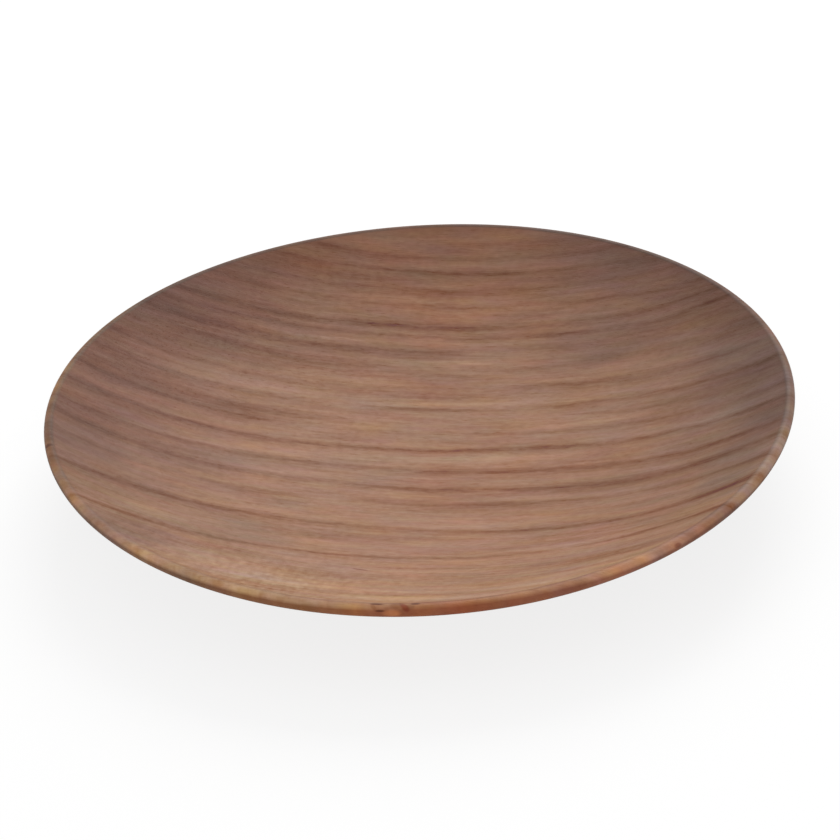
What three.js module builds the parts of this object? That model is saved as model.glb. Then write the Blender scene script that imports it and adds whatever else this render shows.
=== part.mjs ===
import * as THREE from 'three';

// A round wooden plate, turned on a lathe from one board and finished with oil.
// Millimetres, +Z up. The origin is on the surface that the plate stands on, under its centre,
// and the grain of the board runs along X.
//
// The section is one closed outline of tangent arcs. Going round it from the axis underneath:
// recess, foot ring, cove, underside, half-round lip, wall, floor of the well, and the axis again.
// After turning, the board dried into a slight saddle, which the whole plate follows apart from
// the face of its foot: that was sanded flat, so that the plate stands without rocking.

// Overall sizes, in millimetres
const PLATE_DIAMETER = 250;
const WELL_DEPTH = 26; // from the top of the rim to the middle of the well

// Thickness of the wood, in millimetres
const RIM_THICKNESS = 4.2; // the lip is a half round of this thickness
const WALL_AT_FOOT = 6.5; // measured upright, above the cove
const FLOOR_THICKNESS = 6; // at the middle, over the recess

// Foot ring and the recess inside it, in millimetres
const FOOT_DIAMETER = 104;
const FOOT_FACE_WIDTH = 8;
const FOOT_COVE_RADIUS = 2.5; // where the foot meets the underside
const FOOT_EDGE_RADIUS = 0.8;
const RECESS_DEPTH = 1.5;

// Slopes of the well's surface, in degrees from level
const RIM_SLOPE = 29.4; // where the wall meets the lip
const FLOOR_END_SLOPE = 8.4; // where the wide arc of the floor meets the tighter arc of the wall

// Saddle left by drying
const WARP_HEIGHT = 1.2; // millimetres that the rim rises, and falls a quarter turn further on
const WARP_DIRECTION = 23.8; // degrees from the grain to the raised side

// Largest gap between a facet and the true curve, in millimetres
const FACET_GAP = 0.05;

// Oiled wood
const WOOD_COLOUR = 0x9f7b66;
const WOOD_ROUGHNESS = 0.5;

const radians = THREE.MathUtils.degToRad;
const DOWN = -Math.PI / 2;

// The widest turn that one facet may take on a curve of this radius
function facetTurn(radius) {
  return 2 * Math.acos(1 - FACET_GAP / radius);
}

// A point at a distance and an angle from another
function offset(from, distance, angle) {
  return new THREE.Vector2(Math.cos(angle), Math.sin(angle)).multiplyScalar(distance).add(from);
}

// Points along an arc, with both its ends
function arc(centre, radius, start, end) {
  const steps = Math.ceil(Math.abs(end - start) / facetTurn(radius));
  const points = [];
  for (let i = 0; i <= steps; i++) {
    points.push(offset(centre, radius, THREE.MathUtils.lerp(start, end, i / steps)));
  }
  return points;
}

// The lip: a half circle between the well and the underside, which are parallel where it starts
function lipOf() {
  const slope = radians(RIM_SLOPE);
  const radius = RIM_THICKNESS / 2;
  const rimHeight = RECESS_DEPTH + FLOOR_THICKNESS + WELL_DEPTH;
  const centre = new THREE.Vector2(PLATE_DIAMETER / 2 - radius, rimHeight - radius);
  return { slope, radius, centre };
}

// The well: a wide arc from the axis, then a tighter one that reaches the lip at its slope.
// Two radii are wanted, and the run and the rise to the lip give one equation each.
function wellOf(lip) {
  const bottom = RECESS_DEPTH + FLOOR_THICKNESS;
  const middle = radians(FLOOR_END_SLOPE);
  const end = lip.slope;
  const rim = offset(lip.centre, lip.radius, end - DOWN);
  const run = rim.x;
  const rise = rim.y - bottom;
  const floorRun = Math.sin(middle);
  const floorRise = 1 - Math.cos(middle);
  const wallRun = Math.sin(end) - Math.sin(middle);
  const wallRise = Math.cos(middle) - Math.cos(end);
  const share = floorRun * wallRise - wallRun * floorRise;
  const floorRadius = (run * wallRise - rise * wallRun) / share;
  const wallRadius = (rise * floorRun - run * floorRise) / share;
  const floorCentre = new THREE.Vector2(0, bottom + floorRadius);
  const join = offset(floorCentre, floorRadius, DOWN + middle);
  const wallCentre = offset(join, wallRadius, middle - DOWN);
  return { middle, join, floorRadius, floorCentre, wallRadius, wallCentre };
}

// Height of the well's surface at a distance from the axis
function wellHeight(well, reach) {
  const onFloor = reach < well.join.x;
  const centre = onFloor ? well.floorCentre : well.wallCentre;
  const radius = onFloor ? well.floorRadius : well.wallRadius;
  return centre.y - Math.sqrt(radius ** 2 - (reach - centre.x) ** 2);
}

// The cove: a hollow quarter round beside the foot, under the thickness of wall that is left there
function coveOf(well) {
  const radius = FOOT_COVE_RADIUS;
  const reach = FOOT_DIAMETER / 2 + radius;
  const centre = new THREE.Vector2(reach, wellHeight(well, reach) - WALL_AT_FOOT - radius);
  return { radius, centre };
}

// The underside: the arc that leaves the lip at its slope and touches the cove's circle
function undersideOf(lip, cove) {
  const rim = offset(lip.centre, lip.radius, DOWN + lip.slope);
  const inward = offset(new THREE.Vector2(), 1, lip.slope - DOWN);
  const apart = rim.clone().sub(cove.centre);
  const radius = (apart.lengthSq() - cove.radius ** 2) / (2 * (cove.radius - inward.dot(apart)));
  const centre = inward.multiplyScalar(radius).add(rim);
  const touch = centre.clone().sub(cove.centre).angle();
  return { radius, centre, touch };
}

// The closed section, from the axis underneath to the axis in the well
function section(lip, well, cove, underside) {
  const footOuter = FOOT_DIAMETER / 2;
  const footInner = footOuter - FOOT_FACE_WIDTH;
  const edge = FOOT_EDGE_RADIUS;
  const recessFillet = RECESS_DEPTH - edge;
  const points = [
    new THREE.Vector2(0, RECESS_DEPTH),
    ...arc(new THREE.Vector2(footInner - recessFillet, edge), recessFillet, Math.PI / 2, 0),
    ...arc(new THREE.Vector2(footInner + edge, edge), edge, Math.PI, Math.PI * 1.5),
    ...arc(new THREE.Vector2(footOuter - edge, edge), edge, DOWN, 0),
    ...arc(cove.centre, cove.radius, Math.PI, underside.touch),
    ...arc(underside.centre, underside.radius, underside.touch - Math.PI, DOWN + lip.slope),
    ...arc(lip.centre, lip.radius, DOWN + lip.slope, 0),
    ...arc(lip.centre, lip.radius, 0, lip.slope - DOWN),
    ...arc(well.wallCentre, well.wallRadius, DOWN + lip.slope, DOWN + well.middle),
    ...arc(well.floorCentre, well.floorRadius, DOWN + well.middle, DOWN),
  ];
  points[points.length - 1].x = 0;
  const apart = 1e-6;
  return points.filter((point, i) => i === 0 || point.distanceTo(points[i - 1]) > apart);
}

// Bends the turned plate into its saddle. The bend grows with the square of the distance from
// the axis, and from nothing at the foot's face to its whole share at the top of the foot.
function dry(geometry, footTop) {
  const position = geometry.getAttribute('position');
  for (let i = 0; i < position.count; i++) {
    const x = position.getX(i);
    const y = position.getY(i);
    const z = position.getZ(i);
    const reach = Math.hypot(x, y) / (PLATE_DIAMETER / 2);
    const turn = Math.atan2(y, x) - radians(WARP_DIRECTION);
    const share = Math.min(1, z / footTop);
    position.setZ(i, z + WARP_HEIGHT * reach ** 2 * Math.cos(2 * turn) * share);
  }
}

function makePlate() {
  const lip = lipOf();
  const well = wellOf(lip);
  const cove = coveOf(well);
  const underside = undersideOf(lip, cove);
  const facetsPerQuarter = Math.ceil(Math.PI / 2 / facetTurn(PLATE_DIAMETER / 2));
  const geometry = new THREE.LatheGeometry(section(lip, well, cove, underside), 4 * facetsPerQuarter);
  geometry.rotateX(Math.PI / 2);
  dry(geometry, cove.centre.y);
  geometry.computeVertexNormals();
  const wood = new THREE.MeshStandardMaterial({
    color: WOOD_COLOUR,
    roughness: WOOD_ROUGHNESS,
    metalness: 0,
  });
  const plate = new THREE.Mesh(geometry, wood);
  plate.name = 'plate';
  return plate;
}

const object = new THREE.Group();
object.add(makePlate());

export default object;
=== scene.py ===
import math

import bpy
from mathutils import Matrix, Vector


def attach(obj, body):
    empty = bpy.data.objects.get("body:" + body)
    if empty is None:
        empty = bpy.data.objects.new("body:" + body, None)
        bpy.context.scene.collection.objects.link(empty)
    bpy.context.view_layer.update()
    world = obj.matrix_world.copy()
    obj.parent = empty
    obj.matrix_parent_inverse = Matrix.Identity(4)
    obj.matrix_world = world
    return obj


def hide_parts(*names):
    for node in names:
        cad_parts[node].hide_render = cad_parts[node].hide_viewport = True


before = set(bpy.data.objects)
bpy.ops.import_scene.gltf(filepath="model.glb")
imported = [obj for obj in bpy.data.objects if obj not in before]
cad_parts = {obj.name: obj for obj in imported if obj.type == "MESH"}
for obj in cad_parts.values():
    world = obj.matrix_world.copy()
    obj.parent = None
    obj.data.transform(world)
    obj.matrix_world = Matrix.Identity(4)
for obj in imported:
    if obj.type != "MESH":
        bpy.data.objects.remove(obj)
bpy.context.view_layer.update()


# Plate: a shallow dish with a half-round lip and a low foot ring, turned on a lathe from one board
# of brown hardwood, walnut by its look. It is sanded and wiped with oil, stands on its foot with
# nothing fixed to it, and has dried into a slight saddle.
def linear(hex_colour):
    """Turns an sRGB hex colour to linear red, green and blue, with an alpha of 1"""
    levels = [int(hex_colour[start:start + 2], 16) / 255 for start in (1, 3, 5)]
    light = [level / 12.92 if level <= 0.04045 else ((level + 0.055) / 1.055) ** 2.4 for level in levels]
    return light + [1]


def add(tree, kind, feeds=(), **settings):
    """Adds a node to the tree. Each feed is a socket, a node (its first output) or a plain value."""
    node = tree.nodes.new(kind)
    for name, value in settings.items():
        setattr(node, name, value)
    for socket, feed in feeds.items() if isinstance(feeds, dict) else enumerate(feeds):
        if isinstance(feed, bpy.types.Node):
            feed = next(out for out in feed.outputs if out.enabled)
        if isinstance(feed, bpy.types.NodeSocket):
            tree.links.new(feed, node.inputs[socket])
        else:
            node.inputs[socket].default_value = feed
    return node


def fill_ramp(ramp, stops):
    """Gives a colour ramp its stops, each a place from 0 to 1 and a colour, with one at each end"""
    elements = ramp.color_ramp.elements
    for element, (spot, shade) in zip(elements, (stops[0], stops[-1])):
        element.color = shade
    for spot, shade in stops[1:-1]:
        elements.new(spot).color = shade


# One growth line, in millimetres of the board. From its near side to its far one it darkens slowly
# through the summer's wood and ends sharply, and the spring's pale wood follows. Its tilt, bow and
# sway are how far it strays over the stray length, and it fades in and out along the board.
STRAY_LENGTH = 100
FADE = 25
NO_CHANGE = 0.25
SHADES_ACROSS_LINE = (
    (0, NO_CHANGE),
    (0.3, 0.32),
    (0.4, 0.52),
    (0.46, 0.85),
    (0.52, 0.88),
    (0.59, 0.45),
    (0.66, 0.1),
    (0.76, 0.14),
    (1, NO_CHANGE),
)
PLACE_INPUTS = ("Along", "Across", "Before")
LINE_INPUTS = ("Middle", "Tilt", "Bow", "Sway", "Half Width", "Darkness", "From", "To")
growth_line = bpy.data.node_groups.new("growth line", "ShaderNodeTree")
for name in PLACE_INPUTS + LINE_INPUTS:
    growth_line.interface.new_socket(name, in_out="INPUT", socket_type="NodeSocketFloat")
growth_line.interface.new_socket("Darkness", in_out="OUTPUT", socket_type="NodeSocketFloat")
given = add(growth_line, "NodeGroupInput").outputs
run = add(growth_line, "ShaderNodeMath", [given["Along"], STRAY_LENGTH], operation="DIVIDE")
centre = add(growth_line, "ShaderNodeMath", [run, given["Sway"], given["Bow"]], operation="MULTIPLY_ADD")
centre = add(growth_line, "ShaderNodeMath", [run, centre, given["Tilt"]], operation="MULTIPLY_ADD")
centre = add(growth_line, "ShaderNodeMath", [run, centre, given["Middle"]], operation="MULTIPLY_ADD")
beyond = add(growth_line, "ShaderNodeMath", [given["Across"], centre], operation="SUBTRACT")
beyond = add(growth_line, "ShaderNodeMath", [beyond, given["Half Width"]], operation="DIVIDE")
beyond = add(growth_line, "ShaderNodeMapRange", {"Value": beyond, "From Min": -1, "From Max": 1})
shade = add(growth_line, "ShaderNodeValToRGB", {"Fac": beyond})
shade.color_ramp.interpolation = "EASE"
fill_ramp(shade, [(spot, (dark, dark, dark, 1)) for spot, dark in SHADES_ACROSS_LINE])
shade = add(growth_line, "ShaderNodeMath", [shade, NO_CHANGE], operation="SUBTRACT")
inside = add(growth_line, "ShaderNodeMath", [given["From"], FADE], operation="ADD")
fades_in = add(growth_line, "ShaderNodeMapRange", interpolation_type="SMOOTHSTEP", feeds={
    "Value": given["Along"], "From Min": given["From"], "From Max": inside})
inside = add(growth_line, "ShaderNodeMath", [given["To"], FADE], operation="SUBTRACT")
fades_out = add(growth_line, "ShaderNodeMapRange", interpolation_type="SMOOTHSTEP", feeds={
    "Value": given["Along"], "From Min": given["To"], "From Max": inside})
shown = add(growth_line, "ShaderNodeMath", [fades_in, fades_out], operation="MULTIPLY")
shown = add(growth_line, "ShaderNodeMath", [shown, given["Darkness"]], operation="MULTIPLY")
total = add(growth_line, "ShaderNodeMath", [shade, shown, given["Before"]], operation="MULTIPLY_ADD")
add(growth_line, "NodeGroupOutput", [total])

# Oiled walnut, sanded and wiped: the oil deepens the brown, most of all where the grain runs out at
# the two ends, and leaves a dull sheen. Every pattern is worked out in the solid board, from Object
# coordinates turned to millimetres, with the grain along X.
MILLIMETRES = 1000
oiled_wood = bpy.data.materials.new("oiled_walnut")
oiled_wood.use_nodes = True
wood = oiled_wood.node_tree
wood.nodes.clear()
metres = add(wood, "ShaderNodeTexCoord")
board = add(wood, "ShaderNodeVectorMath", operation="SCALE", feeds={
    "Vector": metres.outputs["Object"], "Scale": MILLIMETRES})
place_in_board = add(wood, "ShaderNodeSeparateXYZ", [board]).outputs
along = place_in_board["X"]


def patches(where, size, detail=2):
    """Noise from about -0.5 to 0.5, in patches of a size along, across and through the board"""
    spot = add(wood, "ShaderNodeVectorMath", [where, [1 / length for length in size]], operation="MULTIPLY")
    value = add(wood, "ShaderNodeTexNoise", {"Vector": spot, "Scale": 1, "Detail": detail})
    return add(wood, "ShaderNodeMath", [value, 0.5], operation="SUBTRACT")


def tinted(wood_colour, pattern, change):
    """A colour with shares added to its red, green and blue, in proportion to a pattern"""
    tint = add(wood, "ShaderNodeVectorMath", [pattern, change, (1, 1, 1)], operation="MULTIPLY_ADD")
    return add(wood, "ShaderNodeVectorMath", [wood_colour, tint], operation="MULTIPLY")


# Growth lines wander a little, together, because each ring grew on the one before
WANDER = 3
FLUTTER = 1.2
wander = patches(board, (60, 30, 60))
flutter = patches(board, (9, 6, 9), detail=3)
across = add(wood, "ShaderNodeMath", [wander, WANDER, place_in_board["Y"]], operation="MULTIPLY_ADD")
across = add(wood, "ShaderNodeMath", [flutter, FLUTTER, across], operation="MULTIPLY_ADD")

# The board's growth lines from the far side to the near one: where each crosses the middle, its
# tilt, bow and sway, its half width, its darkness, and from where to where it can be seen
WHOLE = (-150, 150)
GROWTH_LINES = (
    (108.5, -1, 0, 0, 6, 0.8, *WHOLE),
    (102.5, -1, -3, 0, 6, 0.9, *WHOLE),
    (95, 1, -4, 0, 5, 0.45, *WHOLE),
    (87.5, -1, -4, 0, 6, 0.45, *WHOLE),
    (77.1, 0, -2, 2, 8, 1.0, *WHOLE),
    (72.2, -1, -3, 3, 8, 0.9, *WHOLE),
    (64, 0, -3, 0, 13, 1.1, -150, 15),
    (55, 0, 0, 0, 10, 0.45, -150, 60),
    (43.9, 3, -2, -2, 8, 0.65, *WHOLE),
    (31.4, 0, 0, 0, 9, 0.75, -150, -35),
    (31.4, 1, 0, -1, 8, 0.9, -30, 150),
    (22, -1, 0, 0, 11, 0.6, -150, -10),
    (17.2, 0, -1, -1, 7, 0.6, *WHOLE),
    (6.3, 1, 0, -1, 7, 1.1, *WHOLE),
    (-6.7, -1, -1, 0, 8, 0.85, *WHOLE),
    (-18.6, -1, 1, 0, 10, 1.0, *WHOLE),
    (-29, 1, 0, -2, 8, 0.5, -150, -20),
    (-29, 1, 0, -2, 7, 0.75, -30, 150),
    (-47.1, -4, 1, 4, 9, 1.1, *WHOLE),
    (-68, 3, 2, 1, 7, 0.9, *WHOLE),
    (-77, 0, 0, 0, 7, 0.4, -30, 150),
    (-107, 0, 0, 0, 9, 0.3, -50, 70),
)
rings = 0
for line in GROWTH_LINES:
    rings = add(wood, "ShaderNodeGroup", node_tree=growth_line, feeds={
        "Along": along, "Across": across, "Before": rings, **dict(zip(LINE_INPUTS, line))})

# A line is stronger in one place than in another, and has short breaks
VIGOUR = 1.6
VIGOUR_CHANGES = 4
BREAKS_TAKE = 3
vigour = patches(board, (22, 5, 22))
vigour = add(wood, "ShaderNodeMath", [vigour, VIGOUR_CHANGES, VIGOUR], operation="MULTIPLY_ADD")
breaks = patches(board, (5, 1.2, 5), detail=3)
vigour = add(wood, "ShaderNodeMath", [breaks, BREAKS_TAKE, vigour], operation="MULTIPLY_ADD")
rings = add(wood, "ShaderNodeMath", [rings, vigour], operation="MULTIPLY")

# Fainter bands and fibres lie between the lines and bend as they do: the ends of far ones come
# toward the near side. The pores are short and dark, and as coarse as they need to be to show.
BOW_AT_MIDDLE = 0.8
BOW_PER_MILLIMETRE = 0.045
PORE_EDGE = 0.12
PORE_FULL = 0.24
squared = add(wood, "ShaderNodeMath", [along, along], operation="MULTIPLY")
bow = add(wood, "ShaderNodeMath", [across, BOW_PER_MILLIMETRE, BOW_AT_MIDDLE], operation="MULTIPLY_ADD")
bow = add(wood, "ShaderNodeMath", [bow, 1 / STRAY_LENGTH ** 2], operation="MULTIPLY")
grain_across = add(wood, "ShaderNodeMath", [squared, bow, across], operation="MULTIPLY_ADD")
grain = add(wood, "ShaderNodeCombineXYZ", [along, grain_across, place_in_board["Z"]])
bands = patches(grain, (70, 8, 40), detail=4)
mottle = patches(grain, (3, 1.3, 3), detail=3)
strands = patches(grain, (18, 1.3, 6), detail=3)
fibres = patches(grain, (6, 0.4, 0.6))
clouds = patches(grain, (40, 16, 40))
pores = patches(grain, (4.5, 0.4, 0.4), detail=1)
pores = add(wood, "ShaderNodeMapRange", {"Value": pores, "From Min": PORE_EDGE, "From Max": PORE_FULL})

# A faint curl crosses the grain. It grows toward the left and toward the near edge, each way from
# where it starts to where it is full, so it is plainest at the front left.
CURL_ELSEWHERE = 0.3
CURL_GROWS = (
    (along, 30, -40),
    (across, -60, -95),
)
curl = patches(grain, (2.2, 5, 5))
for way, begin, full in CURL_GROWS:
    growth = add(wood, "ShaderNodeMapRange", interpolation_type="SMOOTHSTEP", feeds={
        "Value": way, "From Min": begin, "From Max": full, "To Min": CURL_ELSEWHERE, "To Max": 1})
    curl = add(wood, "ShaderNodeMath", [curl, growth], operation="MULTIPLY")

# How much each pattern darkens the wood, and the shares that dark wood adds to red, green and blue
STRENGTHS = (
    (bands, 3.6),
    (strands, 0.85),
    (mottle, 1.4),
    (fibres, 0.55),
    (clouds, 0.6),
    (curl, 2.6),
    (pores, 0.35),
)
LATE_WOOD_TAKES = (-0.26, -0.42, -0.6)
darkness = rings
for pattern, strength in STRENGTHS:
    darkness = add(wood, "ShaderNodeMath", [pattern, strength, darkness], operation="MULTIPLY_ADD")

# The brown, paler at the near edge and darker toward the far one, and warmer or pinker in patches
BOARD_EDGE = 125
BROWNS = (
    (0, "#a57d5d"),
    (0.25, "#966a4e"),
    (0.65, "#90664a"),
    (1, "#7e533a"),
)
WARMER = (0.35, 0.03, -0.6)
PINKER = (0.1, -0.25, 0.35)
brown = add(wood, "ShaderNodeMapRange", {"Value": across, "From Min": -BOARD_EDGE, "From Max": BOARD_EDGE})
brown = add(wood, "ShaderNodeValToRGB", {"Fac": brown})
fill_ramp(brown, [(spot, linear(hex_colour)) for spot, hex_colour in BROWNS])
plain_wood = tinted(brown, patches(grain, (22, 7, 25), detail=4), WARMER)
plain_wood = tinted(plain_wood, patches(grain, (18, 4, 18), detail=4), PINKER)
colour = tinted(plain_wood, darkness, LATE_WOOD_TAKES)

# End grain drinks the oil and goes dark: the more the surface faces along the board, the darker
DARKEST_FACING = 0.55
OIL_TAKES = (-0.34, -0.35, -0.34)
facing = add(wood, "ShaderNodeAttribute", attribute_name="facing")
facing = add(wood, "ShaderNodeSeparateXYZ", [facing.outputs["Vector"]]).outputs
end_grain = add(wood, "ShaderNodeMath", [facing["X"]], operation="ABSOLUTE")
end_grain = add(wood, "ShaderNodeMapRange", interpolation_type="SMOOTHSTEP", feeds={
    "Value": end_grain, "From Max": DARKEST_FACING})
colour = tinted(colour, end_grain, OIL_TAKES)

# Broad changes of tone, partly painted light and shade: paler and greyer toward the near side, as
# painted sheen, and darker at the ends and far corners of the well, as painted shade. Each row has
# where it starts and is full along the grain, and the same across it, and the shares that it adds to
# the red, green and blue of the wood
BROAD_TONES_AND_LIGHT = (
    ((-40, -115), (-60, 0), (-0.14, -0.3, -0.32)),
    ((65, 118), (-50, 40), (-0.3, -0.28, -0.1)),
    ((-60, -110), (-40, -70), (0.06, 0.14, 0.17)),
    ((40, 110), (-10, -70), (0.18, 0.22, 0.2)),
    ((0, 80), (70, 115), (-0.2, -0.18, 0)),
    ((-50, -110), (30, 80), (-0.12, -0.1, -0.05)),
)
# Each broad tone, partly painted light and shade, is tinted into the wood
for (begin, full), (begin_across, full_across), change in BROAD_TONES_AND_LIGHT:
    lengthways = add(wood, "ShaderNodeMapRange", interpolation_type="SMOOTHSTEP", feeds={
        "Value": along, "From Min": begin, "From Max": full})
    crossways = add(wood, "ShaderNodeMapRange", interpolation_type="SMOOTHSTEP", feeds={
        "Value": across, "From Min": begin_across, "From Max": full_across})
    spread = add(wood, "ShaderNodeMath", [lengthways, crossways], operation="MULTIPLY")
    colour = tinted(colour, spread, change)

# The sockets of a Mix node for colours: the upper colour's share, the lower colour and the upper one
SHARE = 0
UNDER = 6
OVER = 7

# The lip's painted light and shade, and its hue, change round it: it is paler where light and sheen
# fall on it, and darker where it turns from the light. Each row has a turn from the grain in degrees,
# what the red, green and blue are multiplied by, and how far up the lip the outside's painted shade
# comes, from 0 at its widest to 1 at its top. Its inner side is painted darker, against the sheen
# that it catches, and its outer side paler, against its shade. Where it starts is in millimetres
# from the plate's axis.
LIP_LIGHT_AND_SHADE = (
    (-180, (0.74, 0.8, 0.74), 0.25),
    (-163, (0.55, 0.5, 0.41), 0.35),
    (-150, (0.84, 0.93, 0.93), 0.6),
    (-135, (1.18, 1.3, 1.34), 0.6),
    (-118, (1.1, 1.24, 1.46), 0.62),
    (-108, (1.1, 1.14, 1.12), 0.75),
    (-99, (1.15, 1.18, 1.02), 0.75),
    (-89, (1.1, 1, 0.88), 0.85),
    (-80, (1, 0.8, 0.66), 1),
    (-70, (0.98, 0.82, 0.72), 1),
    (-60, (1, 0.86, 0.84), 0.85),
    (-50, (1.14, 1.1, 1.16), 0.5),
    (-42, (1.08, 1, 1.1), 0.4),
    (-34, (0.8, 0.76, 0.86), 0.6),
    (-28, (0.85, 0.95, 1.1), 0.45),
    (-21, (1.05, 1.27, 1.5), 0.3),
    (-8, (0.76, 0.92, 1.16), 0.3),
    (4, (0.58, 0.66, 0.86), 0.3),
    (16, (0.6, 0.62, 0.74), 0.25),
    (30, (0.54, 0.54, 0.65), 0.25),
    (60, (0.55, 0.63, 0.7), 0.25),
    (100, (0.72, 0.74, 0.8), 0.25),
    (140, (0.5, 0.53, 0.53), 0.25),
    (180, (0.74, 0.8, 0.74), 0.25),
)
LIP_STARTS = 122.2
LIP_PALEST = LIP_STARTS + 2.3
ARRIS_WIDTH = 0.7
INNER_PAINTED_SHADE = 0.72
OUTER_PAINTED_LIGHT = 1.3
GRAIN_ON_LIP = 0.7
SMUDGED = (0.45, 0.3, -0.5)
HALF_TURN = 180
FULL_TURN = 360
outward = add(wood, "ShaderNodeVectorMath", [board, (1, 1, 0)], operation="MULTIPLY")
outward = add(wood, "ShaderNodeVectorMath", [outward], operation="LENGTH").outputs["Value"]
lip = add(wood, "ShaderNodeMapRange", {
    "Value": outward, "From Min": LIP_STARTS - ARRIS_WIDTH, "From Max": LIP_STARTS})
round_rim = add(wood, "ShaderNodeMath", [place_in_board["Y"], along], operation="ARCTAN2")
round_rim = add(wood, "ShaderNodeMapRange", {"Value": round_rim, "From Min": -math.pi, "From Max": math.pi})
# Painted light and shade round the lip, with the reach of the outside's painted shade in its alpha
lip_light_and_shade = add(wood, "ShaderNodeValToRGB", {"Fac": round_rim})
fill_ramp(lip_light_and_shade, [((turn + HALF_TURN) / FULL_TURN, (*tone, reach)) for turn, tone, reach in LIP_LIGHT_AND_SHADE])
# Painted shade on the lip's inner side and painted light on its outer one
lip_side_light_and_shade = add(wood, "ShaderNodeMapRange", {
    "Value": outward, "From Min": LIP_STARTS, "From Max": LIP_PALEST,
    "To Min": INNER_PAINTED_SHADE, "To Max": OUTER_PAINTED_LIGHT})
lip_grain = add(wood, "ShaderNodeMath", [darkness, GRAIN_ON_LIP], operation="MULTIPLY")
lip_wood = tinted(plain_wood, lip_grain, LATE_WOOD_TAKES)
lip_wood = add(wood, "ShaderNodeVectorMath", {"Vector": lip_wood, "Scale": lip_side_light_and_shade}, operation="SCALE")
lip_wood = add(wood, "ShaderNodeVectorMath", [lip_wood, lip_light_and_shade.outputs["Color"]], operation="MULTIPLY")
lip_wood = tinted(lip_wood, patches(board, (9, 9, 9)), SMUDGED)
colour = add(wood, "ShaderNodeMix", data_type="RGBA", feeds={
    SHARE: lip, UNDER: colour, OVER: lip_wood}).outputs["Result"]

# Painted shade in the inner arris, a dark line where the well meets the lip, the stronger the further
# the outside's painted shade reaches over the lip. On each side of the arris it starts at one distance
# from the axis and is full at another.
ARRIS_SIDES = (
    (LIP_STARTS - 1.4, LIP_STARTS - 0.5),
    (LIP_STARTS + 1.4, LIP_STARTS + 0.2),
)
LEAST_REACH = -0.3
MOST_REACH = 0.9
ARRIS_SHADE_TAKES = (-0.12, -0.2, -0.25)
arris_shade = add(wood, "ShaderNodeMapRange", {
    "Value": lip_light_and_shade.outputs["Alpha"], "From Min": LEAST_REACH, "From Max": MOST_REACH})
for begin, full in ARRIS_SIDES:
    in_arris = add(wood, "ShaderNodeMapRange", interpolation_type="SMOOTHSTEP", feeds={
        "Value": outward, "From Min": begin, "From Max": full})
    arris_shade = add(wood, "ShaderNodeMath", [arris_shade, in_arris], operation="MULTIPLY")
# The painted shade in the arris darkens the wood
colour = tinted(colour, arris_shade, ARRIS_SHADE_TAKES)

# Painted shade on the outside, which faces down and away from the light. It is darker near the rim,
# and orange there at the front, and toward the foot it changes to the underside's one tone. Each row
# has a turn from the grain in degrees, and what the red, green and blue are multiplied by.
OUTSIDE_SHADES = (
    (-180, (0.55, 0.48, 0.44)),
    (-135, (0.42, 0.37, 0.34)),
    (-112, (0.4, 0.3, 0.24)),
    (-98, (0.5, 0.33, 0.21)),
    (-86, (0.68, 0.46, 0.38)),
    (-62, (0.58, 0.4, 0.37)),
    (-45, (0.5, 0.4, 0.38)),
    (0, (0.6, 0.52, 0.46)),
    (180, (0.55, 0.48, 0.44)),
)
OUTSIDE_FADE = 0.45
UNDERSIDE_TONE = (0.82, 0.75, 0.7)
UNDERSIDE_STARTS = 122
UNDERSIDE_FULL = 100
outside_shade = add(wood, "ShaderNodeValToRGB", {"Fac": round_rim})
fill_ramp(outside_shade, [((turn + HALF_TURN) / FULL_TURN, (*tone, 1)) for turn, tone in OUTSIDE_SHADES])
underneath = add(wood, "ShaderNodeMapRange", interpolation_type="SMOOTHSTEP", feeds={
    "Value": outward, "From Min": UNDERSIDE_STARTS, "From Max": UNDERSIDE_FULL})
outside_shade = add(wood, "ShaderNodeMix", data_type="RGBA", feeds={
    SHARE: underneath, UNDER: outside_shade, OVER: (*UNDERSIDE_TONE, 1)}).outputs["Result"]
# The outside's painted shade comes up as far as the surface faces further down than the lip's reach
painted_shade_share = add(wood, "ShaderNodeMath", [lip_light_and_shade.outputs["Alpha"], facing["Z"]], operation="SUBTRACT")
painted_shade_share = add(wood, "ShaderNodeMapRange", {"Value": painted_shade_share, "From Max": OUTSIDE_FADE})
# The outside's painted shade
shaded_outside = add(wood, "ShaderNodeVectorMath", [colour, outside_shade], operation="MULTIPLY")
colour = add(wood, "ShaderNodeMix", data_type="RGBA", feeds={
    SHARE: painted_shade_share, UNDER: colour, OVER: shaded_outside}).outputs["Result"]

# A stain or a mark is even out to a share of its size, and fades from there to its edge
EVEN_SHARE = 0.4


def stained(wood_colour, centre, half_sizes, turn, factors):
    """A colour with a soft-edged patch in it, where its red, green and blue are multiplied"""
    from_middle = add(wood, "ShaderNodeMapping", vector_type="TEXTURE", feeds={
        "Vector": board, "Location": centre, "Rotation": (0, 0, math.radians(turn)), "Scale": half_sizes})
    from_middle = add(wood, "ShaderNodeVectorMath", [from_middle], operation="LENGTH").outputs["Value"]
    patch = add(wood, "ShaderNodeMapRange", interpolation_type="SMOOTHSTEP", feeds={
        "Value": from_middle, "From Min": 1, "From Max": EVEN_SHARE})
    changed = add(wood, "ShaderNodeVectorMath", [wood_colour, factors], operation="MULTIPLY")
    return add(wood, "ShaderNodeMix", data_type="RGBA", feeds={
        SHARE: patch, UNDER: wood_colour, OVER: changed}).outputs["Result"]


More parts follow.
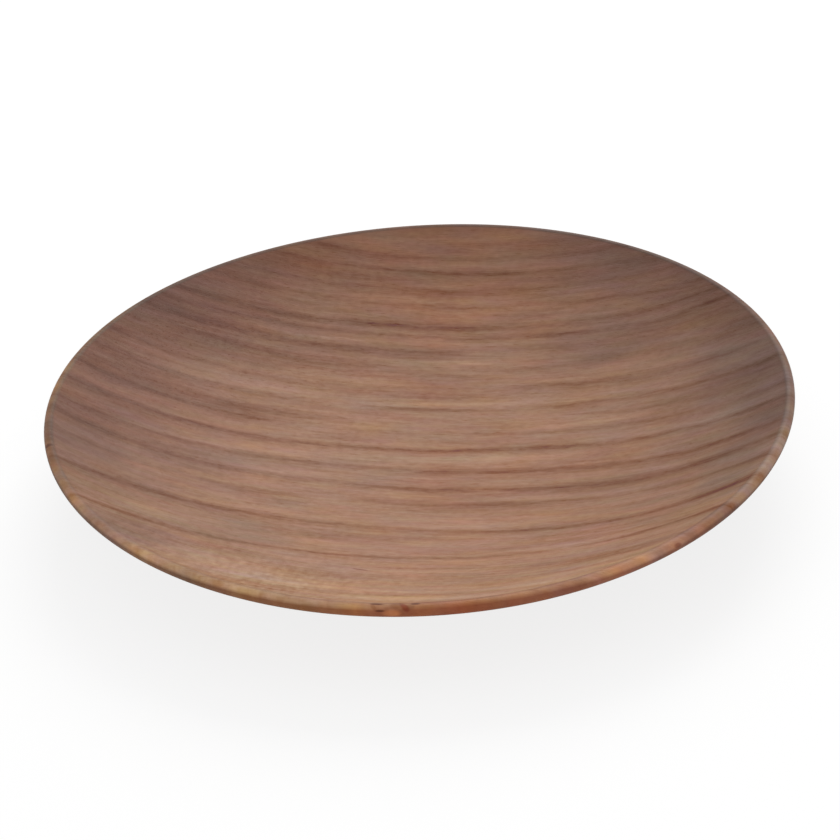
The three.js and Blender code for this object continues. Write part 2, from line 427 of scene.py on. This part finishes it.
# Paler and darker stains of the board, which go right down through it: where the middle of each is,
# its half length and half width, its turn in degrees, and its factors for red, green and blue
RIM_HEIGHT = 34
THROUGH = 1000
STAINS = (
    (-50, 66, 75, 14, 0, (0.88, 0.82, 0.77)),
    (-25, 114, 40, 12, 0, (0.92, 0.87, 0.84)),
    (65, 103, 60, 26, -30, (0.88, 0.88, 0.98)),
    (3, 90, 42, 13, 0, (1.2, 1.2, 1.22)),
    (-45, -11, 60, 11, 0, (0.9, 0.86, 0.87)),
    (-95, -62, 50, 16, 0, (1.07, 1.12, 1.13)),
    (-85, -86, 28, 16, 0, (0.77, 0.72, 0.77)),
    (-15, -112, 80, 10, 0, (1.06, 1.11, 1.1)),
    (88, 4, 28, 32, 0, (1.09, 1.14, 1.2)),
    (118, 14, 18, 40, 0, (0.87, 0.87, 0.9)),
    (55, 66, 30, 16, 0, (0.8, 0.78, 0.84)),
    (62, -60, 26, 14, 0, (1.12, 1.14, 1.24)),
    (-55, -62, 26, 14, 0, (0.86, 0.88, 0.88)),
    (-108, -30, 18, 18, 0, (0.84, 0.84, 0.88)),
    (-78, 84, 36, 24, 42, (0.95, 0.88, 0.86)),
    (-86, -21, 38, 11, 0, (0.93, 0.9, 0.87)),
    (60, -20, 28, 10, 0, (0.89, 0.88, 0.86)),
    (18, 1, 28, 10, 0, (1.05, 1.12, 1.1)),
    (106, -32, 16, 26, 0, (0.87, 0.95, 1.03)),
    (56, -97, 34, 9, 30, (1.12, 1.12, 1.17)),
    (-32, -100, 24, 11, 0, (1.03, 1.09, 1.14)),
)
for x, y, half_length, half_width, turn, factors in STAINS:
    colour = stained(colour, (x, y, RIM_HEIGHT), (half_length, half_width, THROUGH), turn, factors)

# Small natural marks: a pin knot on the lip at the front, with the brown and orange wood and the fine
# cracks round it, and three specks elsewhere. Each has its middle and its half sizes along, across and
# through the board, its turn in degrees, and its factors for red, green and blue.
CRACK = (0.36, 0.16, 0)
KNOT = (0.7, 0.37, 0.28)
SPECK = (0.6, 0.4, 0.32)
MARKS = (
    ((4.9, -122.8, 32.5), (3, 0.6, 1.5), 2, CRACK),
    ((3.9, -123.8, 32), (1.6, 0.9, 1.5), -39, (0.8, 0.7, 0.6)),
    ((6, -124.7, 31.4), (2, 0.9, 0.4), 2, (0.42, 0.3, 0.18)),
    ((10.8, -122.9, 32.4), (2.6, 1.6, 3), 5, (0.75, 0.62, 0.48)),
    ((9.6, -124.6, 30.6), (3.6, 2, 1.5), 4, (1.6, 1.8, 1.7)),
    ((13.5, -123.2, 32), (2.7, 1.2, 2), -36, KNOT),
    ((15.2, -122.7, 32), (1.8, 1.3, 2), 8, (0.8, 0.76, 0.72)),
    ((16.6, -121.7, 32.5), (2, 0.65, 1.5), 8, CRACK),
    ((-117.2, -40.3, 33), (2.8, 1.5, 4), 0, (0.48, 0.32, 0.26)),
    ((93.4, -83.2, 31.5), (2.4, 1, 1.3), 30, (0.62, 0.46, 0.42)),
    ((-8, -79.5, 18), (4, 0.7, 8), -12, SPECK),
)
for centre, half_sizes, turn, factors in MARKS:
    colour = stained(colour, centre, half_sizes, turn, factors)

# A dull satin: the strands differ a little in it, the open pores are duller, and both can be felt
SATIN = 0.6
STRAND_CHANGES = 0.2
PORE_DULLS = 0.15
PORE_RELIEF = -0.6
RELIEF_HEIGHT = 0.0001
roughness = add(wood, "ShaderNodeMath", [strands, STRAND_CHANGES, SATIN], operation="MULTIPLY_ADD")
roughness = add(wood, "ShaderNodeMath", [pores, PORE_DULLS, roughness], operation="MULTIPLY_ADD")
relief = add(wood, "ShaderNodeMath", [strands, fibres], operation="ADD")
relief = add(wood, "ShaderNodeMath", [pores, PORE_RELIEF, relief], operation="MULTIPLY_ADD")
bump = add(wood, "ShaderNodeBump", {"Height": relief, "Distance": RELIEF_HEIGHT, "Strength": 0.5})
finish = add(wood, "ShaderNodeBsdfPrincipled", {
    "Base Color": colour, "Roughness": roughness, "Normal": bump, "IOR": 1.47, "Specular IOR Level": 0.35})
add(wood, "ShaderNodeOutputMaterial", [finish])

# The shape: a section of tangent arcs, swept round the axis and bent into the saddle of drying. The
# sizes are those of the CAD part, in metres and radians. The lip stays a hair lower than the CAD
# solid's, whose facets cut inside the true curve.
FACET_ROOM = 0.00002
DOWN = -math.pi / 2
PLATE_SIZES = {
    "Diameter": 0.250,
    "Well Depth": 0.026 - FACET_ROOM,
    "Rim Thickness": 0.0042,
    "Wall At Foot": 0.0065,
    "Floor Thickness": 0.006,
    "Foot Diameter": 0.104,
    "Foot Face Width": 0.008,
    "Foot Cove Radius": 0.0025,
    "Foot Edge Radius": 0.0008,
    "Recess Depth": 0.0015,
    "Rim Slope": math.radians(29.4),
    "Floor End Slope": math.radians(8.4),
    "Warp Height": 0.0012,
    "Warp Direction": math.radians(23.8),
}
turning = bpy.data.node_groups.new("turned plate", "GeometryNodeTree")
identifiers = {}
for name in PLATE_SIZES:
    socket = turning.interface.new_socket(name, in_out="INPUT", socket_type="NodeSocketFloat")
    identifiers[name] = socket.identifier
turning.interface.new_socket("Geometry", in_out="OUTPUT", socket_type="NodeSocketGeometry")
size = add(turning, "NodeGroupInput").outputs

# The slopes at the lip and where the floor of the well ends
rim_slope = size["Rim Slope"]
floor_slope = size["Floor End Slope"]
rim_sine = add(turning, "ShaderNodeMath", [rim_slope], operation="SINE")
rim_cosine = add(turning, "ShaderNodeMath", [rim_slope], operation="COSINE")
floor_sine = add(turning, "ShaderNodeMath", [floor_slope], operation="SINE")
floor_cosine = add(turning, "ShaderNodeMath", [floor_slope], operation="COSINE")

# The lip's circle, and the square-on direction in which it meets the well and the underside
lip_radius = add(turning, "ShaderNodeMath", [size["Rim Thickness"], 0.5], operation="MULTIPLY")
plate_radius = add(turning, "ShaderNodeMath", [size["Diameter"], 0.5], operation="MULTIPLY")
bottom = add(turning, "ShaderNodeMath", [size["Recess Depth"], size["Floor Thickness"]], operation="ADD")
rim_height = add(turning, "ShaderNodeMath", [bottom, size["Well Depth"]], operation="ADD")
lip_reach = add(turning, "ShaderNodeMath", [plate_radius, lip_radius], operation="SUBTRACT")
lip_height = add(turning, "ShaderNodeMath", [rim_height, lip_radius], operation="SUBTRACT")
lip_centre = add(turning, "ShaderNodeCombineXYZ", [lip_reach, lip_height])
minus_sine = add(turning, "ShaderNodeMath", [rim_sine, -1], operation="MULTIPLY")
inward = add(turning, "ShaderNodeCombineXYZ", [minus_sine, rim_cosine])
to_lip = add(turning, "ShaderNodeVectorMath", [inward, lip_radius], operation="MULTIPLY")
rim_above = add(turning, "ShaderNodeVectorMath", [lip_centre, to_lip], operation="ADD")
rim_below = add(turning, "ShaderNodeVectorMath", [lip_centre, to_lip], operation="SUBTRACT")

# The well's two arcs: their radii follow from the run and the rise between the middle and the lip
rim_point = add(turning, "ShaderNodeSeparateXYZ", [rim_above])
well_run = rim_point.outputs["X"]
well_rise = add(turning, "ShaderNodeMath", [rim_point.outputs["Y"], bottom], operation="SUBTRACT")
wall_run = add(turning, "ShaderNodeMath", [rim_sine, floor_sine], operation="SUBTRACT")
wall_rise = add(turning, "ShaderNodeMath", [floor_cosine, rim_cosine], operation="SUBTRACT")
floor_rise = add(turning, "ShaderNodeMath", [1, floor_cosine], operation="SUBTRACT")
one = add(turning, "ShaderNodeMath", [floor_sine, wall_rise], operation="MULTIPLY")
other = add(turning, "ShaderNodeMath", [wall_run, floor_rise], operation="MULTIPLY")
share = add(turning, "ShaderNodeMath", [one, other], operation="SUBTRACT")
one = add(turning, "ShaderNodeMath", [well_run, wall_rise], operation="MULTIPLY")
other = add(turning, "ShaderNodeMath", [well_rise, wall_run], operation="MULTIPLY")
part = add(turning, "ShaderNodeMath", [one, other], operation="SUBTRACT")
floor_radius = add(turning, "ShaderNodeMath", [part, share], operation="DIVIDE")
one = add(turning, "ShaderNodeMath", [well_rise, floor_sine], operation="MULTIPLY")
other = add(turning, "ShaderNodeMath", [well_run, floor_rise], operation="MULTIPLY")
part = add(turning, "ShaderNodeMath", [one, other], operation="SUBTRACT")
wall_radius = add(turning, "ShaderNodeMath", [part, share], operation="DIVIDE")
floor_centre_height = add(turning, "ShaderNodeMath", [bottom, floor_radius], operation="ADD")
floor_centre = add(turning, "ShaderNodeCombineXYZ", [0, floor_centre_height])
minus_cosine = add(turning, "ShaderNodeMath", [floor_cosine, -1], operation="MULTIPLY")
to_join = add(turning, "ShaderNodeCombineXYZ", [floor_sine, minus_cosine])
centres_apart = add(turning, "ShaderNodeMath", [floor_radius, wall_radius], operation="SUBTRACT")
wall_centre = add(turning, "ShaderNodeVectorMath", operation="MULTIPLY_ADD", feeds=[
    to_join, centres_apart, floor_centre])

# The cove beside the foot, under the thickness of wall that is left there
cove_radius = size["Foot Cove Radius"]
foot_outer = add(turning, "ShaderNodeMath", [size["Foot Diameter"], 0.5], operation="MULTIPLY")
cove_reach = add(turning, "ShaderNodeMath", [foot_outer, cove_radius], operation="ADD")
one = add(turning, "ShaderNodeMath", [floor_radius, 2], operation="POWER")
other = add(turning, "ShaderNodeMath", [cove_reach, 2], operation="POWER")
fall = add(turning, "ShaderNodeMath", [one, other], operation="SUBTRACT")
fall = add(turning, "ShaderNodeMath", [fall], operation="SQRT")
cove_height = add(turning, "ShaderNodeMath", [floor_centre_height, fall], operation="SUBTRACT")
cove_height = add(turning, "ShaderNodeMath", [cove_height, size["Wall At Foot"]], operation="SUBTRACT")
cove_height = add(turning, "ShaderNodeMath", [cove_height, cove_radius], operation="SUBTRACT")
cove_centre = add(turning, "ShaderNodeCombineXYZ", [cove_reach, cove_height])

# The underside's arc leaves the lip at its slope and touches the cove's circle
apart = add(turning, "ShaderNodeVectorMath", [rim_below, cove_centre], operation="SUBTRACT")
one = add(turning, "ShaderNodeVectorMath", [apart, apart], operation="DOT_PRODUCT")
other = add(turning, "ShaderNodeMath", [cove_radius, 2], operation="POWER")
part = add(turning, "ShaderNodeMath", [one.outputs["Value"], other], operation="SUBTRACT")
one = add(turning, "ShaderNodeVectorMath", [inward, apart], operation="DOT_PRODUCT")
share = add(turning, "ShaderNodeMath", [cove_radius, one.outputs["Value"]], operation="SUBTRACT")
share = add(turning, "ShaderNodeMath", [share, 2], operation="MULTIPLY")
under_radius = add(turning, "ShaderNodeMath", [part, share], operation="DIVIDE")
under_centre = add(turning, "ShaderNodeVectorMath", operation="MULTIPLY_ADD", feeds=[
    inward, under_radius, rim_below])
apart = add(turning, "ShaderNodeVectorMath", [under_centre, cove_centre], operation="SUBTRACT")
apart = add(turning, "ShaderNodeSeparateXYZ", [apart]).outputs
touch = add(turning, "ShaderNodeMath", [apart["Y"], apart["X"]], operation="ARCTAN2")
touch_from_above = add(turning, "ShaderNodeMath", [touch, math.pi], operation="SUBTRACT")

# The foot: its recess, its two rounded edges and the straight side up to the cove
edge = size["Foot Edge Radius"]
foot_inner = add(turning, "ShaderNodeMath", [foot_outer, size["Foot Face Width"]], operation="SUBTRACT")
fillet = add(turning, "ShaderNodeMath", [size["Recess Depth"], edge], operation="SUBTRACT")
recess_end = add(turning, "ShaderNodeMath", [foot_inner, fillet], operation="SUBTRACT")
face_start = add(turning, "ShaderNodeMath", [foot_inner, edge], operation="ADD")
face_end = add(turning, "ShaderNodeMath", [foot_outer, edge], operation="SUBTRACT")
fillet_centre = add(turning, "ShaderNodeCombineXYZ", [recess_end, edge])
inner_edge_centre = add(turning, "ShaderNodeCombineXYZ", [face_start, edge])
outer_edge_centre = add(turning, "ShaderNodeCombineXYZ", [face_end, edge])

# The straight parts of the section, each with its start, its end and the number of its points
section = []
for start, end, points in (
    ((0, size["Recess Depth"]), (recess_end, size["Recess Depth"]), 28),
    ((face_start, 0), (face_end, 0), 6),
    ((foot_outer, edge), (foot_outer, cove_height), 3),
):
    start = add(turning, "ShaderNodeCombineXYZ", start)
    end = add(turning, "ShaderNodeCombineXYZ", end)
    line = add(turning, "GeometryNodeCurvePrimitiveLine", {"Start": start, "End": end})
    section.append(add(turning, "GeometryNodeResampleCurve", {"Curve": line, "Count": points}))

# Its arcs: the centre and radius, the angles where each starts and ends, and the number of its points
lip_start = add(turning, "ShaderNodeMath", [rim_slope, DOWN], operation="ADD")
lip_end = add(turning, "ShaderNodeMath", [rim_slope, DOWN], operation="SUBTRACT")
floor_start = add(turning, "ShaderNodeMath", [floor_slope, DOWN], operation="ADD")
for centre, radius, start, end, points in (
    (fillet_centre, fillet, math.pi / 2, 0, 5),
    (inner_edge_centre, edge, math.pi, math.pi * 1.5, 5),
    (outer_edge_centre, edge, DOWN, 0, 6),
    (cove_centre, cove_radius, math.pi, touch, 9),
    (under_centre, under_radius, touch_from_above, lip_start, 52),
    (lip_centre, lip_radius, lip_start, lip_end, 25),
    (wall_centre, wall_radius, lip_start, floor_start, 56),
    (floor_centre, floor_radius, floor_start, DOWN, 44),
):
    sweep = add(turning, "ShaderNodeMath", [end, start], operation="SUBTRACT")
    arc = add(turning, "GeometryNodeCurveArc", {
        "Resolution": points, "Radius": radius, "Start Angle": start, "Sweep Angle": sweep})
    section.append(add(turning, "GeometryNodeTransform", {"Geometry": arc, "Translation": centre}))
join = add(turning, "GeometryNodeJoinGeometry")
for piece in reversed(section):
    turning.links.new(piece.outputs[0], join.inputs[0])

# The section goes round the axis in steps, as the work turns past the gouge, and points that meet are
# welded into one
STEPS_ROUND = 384
WELD = 0.000001
axis_offset = add(turning, "ShaderNodeMath", [plate_radius, -1], operation="MULTIPLY")
axis_offset = add(turning, "ShaderNodeCombineXYZ", [axis_offset])
profile = add(turning, "GeometryNodeTransform", {"Geometry": join, "Translation": axis_offset})
path = add(turning, "GeometryNodeCurvePrimitiveCircle", {"Resolution": STEPS_ROUND, "Radius": plate_radius})
path = add(turning, "GeometryNodeSetCurveNormal", [path], mode="Z_UP")
body = add(turning, "GeometryNodeCurveToMesh", {"Curve": path, "Profile Curve": profile})
body = add(turning, "GeometryNodeTransform", {"Geometry": body, "Rotation": (math.pi, 0, 0)})
body = add(turning, "GeometryNodeMergeByDistance", {"Geometry": body, "Distance": WELD})

# Drying bends the whole plate into a saddle, apart from the face of the foot, which was sanded flat.
# The way that each point faces is kept for the end grain and for the painted shade on the outside.
position = add(turning, "GeometryNodeInputPosition")
spot = add(turning, "ShaderNodeSeparateXYZ", [position]).outputs
outward = add(turning, "ShaderNodeVectorMath", [position, (1, 1, 0)], operation="MULTIPLY")
reach = add(turning, "ShaderNodeVectorMath", [outward], operation="LENGTH").outputs["Value"]
reach = add(turning, "ShaderNodeMath", [reach, plate_radius], operation="DIVIDE")
reach = add(turning, "ShaderNodeMath", [reach, 2], operation="POWER")
turn = add(turning, "ShaderNodeMath", [spot["Y"], spot["X"]], operation="ARCTAN2")
turn = add(turning, "ShaderNodeMath", [turn, size["Warp Direction"]], operation="SUBTRACT")
turn = add(turning, "ShaderNodeMath", [turn, 2], operation="MULTIPLY")
saddle = add(turning, "ShaderNodeMath", [turn], operation="COSINE")
saddle = add(turning, "ShaderNodeMath", [saddle, reach], operation="MULTIPLY")
saddle = add(turning, "ShaderNodeMath", [saddle, size["Warp Height"]], operation="MULTIPLY")
free = add(turning, "ShaderNodeMath", [spot["Z"], cove_height], operation="DIVIDE", use_clamp=True)
saddle = add(turning, "ShaderNodeMath", [saddle, free], operation="MULTIPLY")
saddle = add(turning, "ShaderNodeCombineXYZ", {"Z": saddle})
body = add(turning, "GeometryNodeSetPosition", {"Geometry": body, "Offset": saddle})
body = add(turning, "GeometryNodeSetShadeSmooth", {"Geometry": body})
normal = add(turning, "GeometryNodeInputNormal")
body = add(turning, "GeometryNodeStoreNamedAttribute", data_type="FLOAT_VECTOR", feeds={
    "Geometry": body, "Name": "facing", "Value": normal})
body = add(turning, "GeometryNodeRealizeInstances", [body])
body = add(turning, "GeometryNodeSetMaterial", {"Geometry": body, "Material": oiled_wood})
add(turning, "NodeGroupOutput", [body])

plate = bpy.data.objects.new("turned_plate", bpy.data.meshes.new("turned_plate"))
bpy.context.scene.collection.objects.link(plate)
lathe = plate.modifiers.new("turning", "NODES")
lathe.node_group = turning
for name, value in PLATE_SIZES.items():
    lathe[identifiers[name]] = value
turned = plate.evaluated_get(bpy.context.evaluated_depsgraph_get())
mesh = bpy.data.meshes.new_from_object(turned)
plate.modifiers.remove(lathe)
plate.data = mesh
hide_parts("plate")
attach(plate, "root")


# Camera: where the photograph was taken from, solved from the plate's outline and growth lines.
# It stands a little to the right of square to the grain and looks down into the well. Its
# distances are metres, and its lens is in the photograph's pixels, as it was solved.
WELL_BOTTOM = Vector((0, 0, 0.0075))
VIEW_DISTANCE = 1.125
VIEW_TURN = math.radians(10.01)
VIEW_HEIGHT = math.radians(31.62)
VIEW_ROLL = math.radians(-3.63)
AIM_RIGHT = -0.0008
AIM_UP = 0.0137
IMAGE_PIXELS = 840
LENS_PIXELS = 3330.7
SENSOR = 36.0
NEAREST = 0.01

toward_camera = Vector((
    math.sin(VIEW_TURN) * math.cos(VIEW_HEIGHT),
    -math.cos(VIEW_TURN) * math.cos(VIEW_HEIGHT),
    math.sin(VIEW_HEIGHT),
))
level = Vector((math.cos(VIEW_TURN), math.sin(VIEW_TURN), 0))
upright = toward_camera.cross(level)
right = level * math.cos(VIEW_ROLL) + upright * math.sin(VIEW_ROLL)
up = upright * math.cos(VIEW_ROLL) - level * math.sin(VIEW_ROLL)
place = WELL_BOTTOM + toward_camera * VIEW_DISTANCE
back = (place - WELL_BOTTOM - right * AIM_RIGHT - up * AIM_UP).normalized()
right = (right - back * back.dot(right)).normalized()
camera = bpy.data.objects.new("camera", bpy.data.cameras.new("camera"))
camera.data.lens = LENS_PIXELS / IMAGE_PIXELS * SENSOR
camera.data.sensor_width = SENSOR
camera.data.clip_start = NEAREST
turned_to_plate = Matrix((right, back.cross(right), back)).transposed().to_4x4()
camera.matrix_world = Matrix.Translation(place) @ turned_to_plate
bpy.context.scene.collection.objects.link(camera)
bpy.context.scene.camera = camera


# Floor: a plain white table that goes on past the view, a hair under the foot. It is seen as white
# with a soft part of the plate's shadow, and as clear from below, so that the foot can be looked at.
# It is set ahead, so that the seam of its two triangles lies well away from the plate.
FLOOR_SIZE = 24.0
FLOOR_AHEAD = 1.0
FLOOR_DROP = 0.0002
GLOW_SHARE = 0.82
PALE_GREY = "#e7e7e7"
WHITE = "#ffffff"
floor_paint = bpy.data.materials.new("white_table")
floor_paint.use_nodes = True
paint = floor_paint.node_tree
paint.nodes.clear()
ray = add(paint, "ShaderNodeLightPath").outputs
seen = add(paint, "ShaderNodeMath", [ray["Is Camera Ray"], ray["Is Glossy Ray"]], operation="MAXIMUM")
seen = add(paint, "ShaderNodeMath", [seen, ray["Is Transmission Ray"]], operation="MAXIMUM")
matt = add(paint, "ShaderNodeBsdfDiffuse", {"Color": linear(PALE_GREY)})
bright = add(paint, "ShaderNodeBsdfDiffuse", {"Color": linear(WHITE)})
glow = add(paint, "ShaderNodeEmission", {"Color": linear(WHITE), "Strength": 1})
shown = add(paint, "ShaderNodeMixShader", [GLOW_SHARE, bright, glow])
shown = add(paint, "ShaderNodeMixShader", [seen, matt, shown])
underside = add(paint, "ShaderNodeNewGeometry").outputs["Backfacing"]
from_below = add(paint, "ShaderNodeMath", [underside, ray["Is Camera Ray"]], operation="MULTIPLY")
clear = add(paint, "ShaderNodeBsdfTransparent")
shown = add(paint, "ShaderNodeMixShader", [from_below, shown, clear])
add(paint, "ShaderNodeOutputMaterial", [shown])
half = FLOOR_SIZE / 2
near = FLOOR_AHEAD - half
far = FLOOR_AHEAD + half
corners = [(x, y, -FLOOR_DROP) for x, y in ((-half, near), (half, near), (half, far), (-half, far))]
floor_mesh = bpy.data.meshes.new("floor")
floor_mesh.from_pydata(corners, [], [(0, 1, 2, 3)])
floor_mesh.materials.append(floor_paint)
floor = bpy.data.objects.new("floor", floor_mesh)
bpy.context.scene.collection.objects.link(floor)


# Light: an even white surround, and one large soft window light from behind, a little to the right.
# The camera sees neither of them, but plain white past the table.
SURROUND = 0.7
WINDOW_POWER = 14
WINDOW_DISTANCE = 1.5
WINDOW_SIZE = 1.0
WINDOW_TURN = math.radians(4)
WINDOW_HEIGHT = math.radians(45)
world = bpy.data.worlds.new("surround")
bpy.context.scene.world = world
world.use_nodes = True
air = world.node_tree
air.nodes.clear()
ray = add(air, "ShaderNodeLightPath").outputs
seen = add(air, "ShaderNodeMath", [ray["Is Camera Ray"], ray["Is Transmission Ray"]], operation="MAXIMUM")
lighting = add(air, "ShaderNodeBackground", {"Color": linear(WHITE), "Strength": SURROUND})
white = add(air, "ShaderNodeBackground", {"Color": linear(WHITE), "Strength": 1})
shown = add(air, "ShaderNodeMixShader", [seen, lighting, white])
add(air, "ShaderNodeOutputWorld", [shown])
window = bpy.data.objects.new("window_light", bpy.data.lights.new("window_light", "AREA"))
window.data.energy = WINDOW_POWER
window.data.size = WINDOW_SIZE
to_window = Vector((
    math.sin(WINDOW_TURN) * math.cos(WINDOW_HEIGHT),
    math.cos(WINDOW_TURN) * math.cos(WINDOW_HEIGHT),
    math.sin(WINDOW_HEIGHT),
))
window.location = to_window * WINDOW_DISTANCE
window.rotation_euler = to_window.to_track_quat("Z", "Y").to_euler()
window.visible_camera = False
bpy.context.scene.collection.objects.link(window)

bpy.context.scene.view_settings.view_transform = "Standard"
